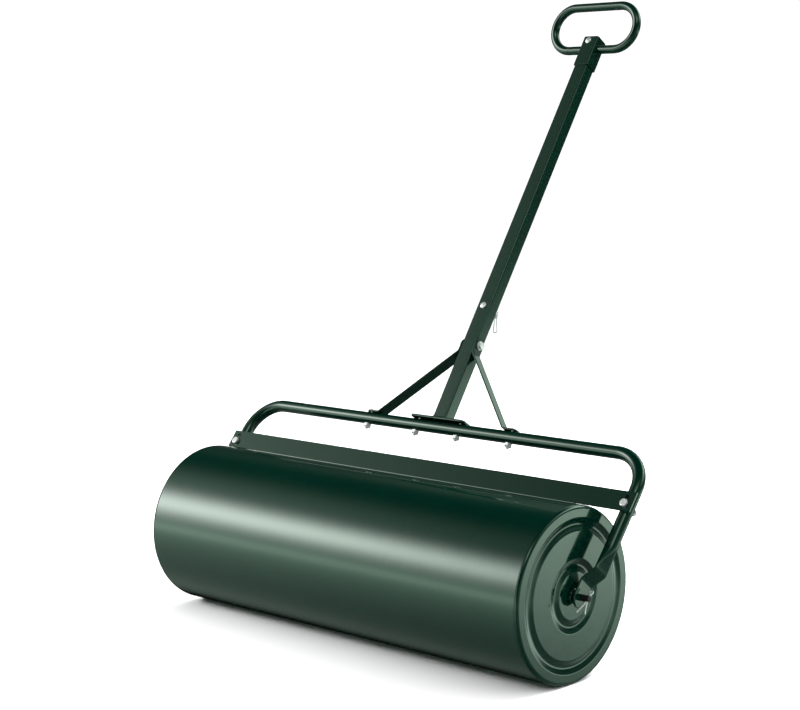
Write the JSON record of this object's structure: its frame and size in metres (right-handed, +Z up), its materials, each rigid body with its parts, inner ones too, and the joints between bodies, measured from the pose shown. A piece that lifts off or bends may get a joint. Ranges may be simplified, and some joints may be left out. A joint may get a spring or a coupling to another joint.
{
  "type": "lawn roller",
  "caption": "Push and pull lawn roller: glossy dark green steel drum in a bent-tube yoke, with a scraper bar, a braced post with a clipped hitch pin and a loop handle",
  "frame": {"origin": "on the ground under the middle of the drum", "axes": "+X along the drum's axle to the right-hand end, +Y towards the handle, which leans back, +Z up"},
  "size_m": [1.001, 0.8308, 1.1917],
  "materials": {
    "green_paint": "gloss enamel",
    "zinc_plate": "bright zinc plate",
    "black_steel": "black oxide",
    "black_rubber": "matte",
    "black_plastic": "moulded"
  },
  "bodies": {
    "frame": {"axle": "black_steel", "base_left_bolt": "zinc_plate", "base_left_nut": "zinc_plate", "base_plate": "green_paint", "base_right_bolt": "zinc_plate", "base_right_nut": "zinc_plate", "brace_foot_left_bolt": "zinc_plate", "brace_foot_left_nut": "zinc_plate", "brace_foot_right_bolt": "zinc_plate", "brace_foot_right_nut": "zinc_plate", "brace_left": "green_paint", "brace_right": "green_paint", "brace_top_bolt": "zinc_plate", "brace_top_nut": "zinc_plate", "brace_top_washer": "zinc_plate", "handle_socket": "green_paint", "lower_post": "green_paint", "post_coupling": "green_paint", "scraper_left_bolt": "zinc_plate", "scraper_left_nut": "zinc_plate", "scraper_right_bolt": "zinc_plate", "scraper_right_nut": "zinc_plate", "socket_bolt": "zinc_plate", "socket_nut": "zinc_plate", "split_pin_left": "zinc_plate", "split_pin_right": "zinc_plate", "thrust_washer_left": "black_steel", "thrust_washer_right": "black_steel", "upper_pole": "green_paint", "yoke": "green_paint"},
    "drum": {"drum_shell": "green_paint", "end_plate_left": "green_paint", "end_plate_right": "green_paint", "axle_tube": "black_steel", "filler_boss": "green_paint"},
    "scraper": {"scraper_bar": "green_paint"},
    "handle_loop": {"loop_handle": "green_paint"},
    "filler_plug": {"filler_plug": "black_plastic", "filler_gasket": "black_rubber"},
    "hitch_pin": {"hitch_pin": "zinc_plate"},
    "r_clip": {"r_clip": "zinc_plate"}
  },
  "joints": [
    {"name": "drum_roll", "type": "hinge", "parent": "frame", "child": "drum", "pos_m": [0, 0, 0.1525], "axis": [1, 0, 0], "continuous": true},
    {"name": "scraper_adjust", "type": "slide", "parent": "frame", "child": "scraper", "axis": [0, 0.6239, 0.7815], "range_m": [-0.0045, 0.004]},
    {"name": "loop_swivel", "type": "hinge", "parent": "frame", "child": "handle_loop", "pos_m": [0, 0.64477, 1.09496], "axis": [1, 0, 0], "range_deg": [-110, 130]},
    {"name": "filler_plug_out", "type": "slide", "parent": "drum", "child": "filler_plug", "axis": [-1, 0, 0], "range_m": [0, 0.02]},
    {"name": "hitch_pin_slide", "type": "slide", "parent": "frame", "child": "hitch_pin", "axis": [0, -0.8406, 0.5417], "range_m": [0, 0.011]},
    {"name": "r_clip_slide", "type": "slide", "parent": "hitch_pin", "child": "r_clip", "axis": [0.3256, -0.5122, -0.7948], "range_m": [0, 0.03]}
  ]
}
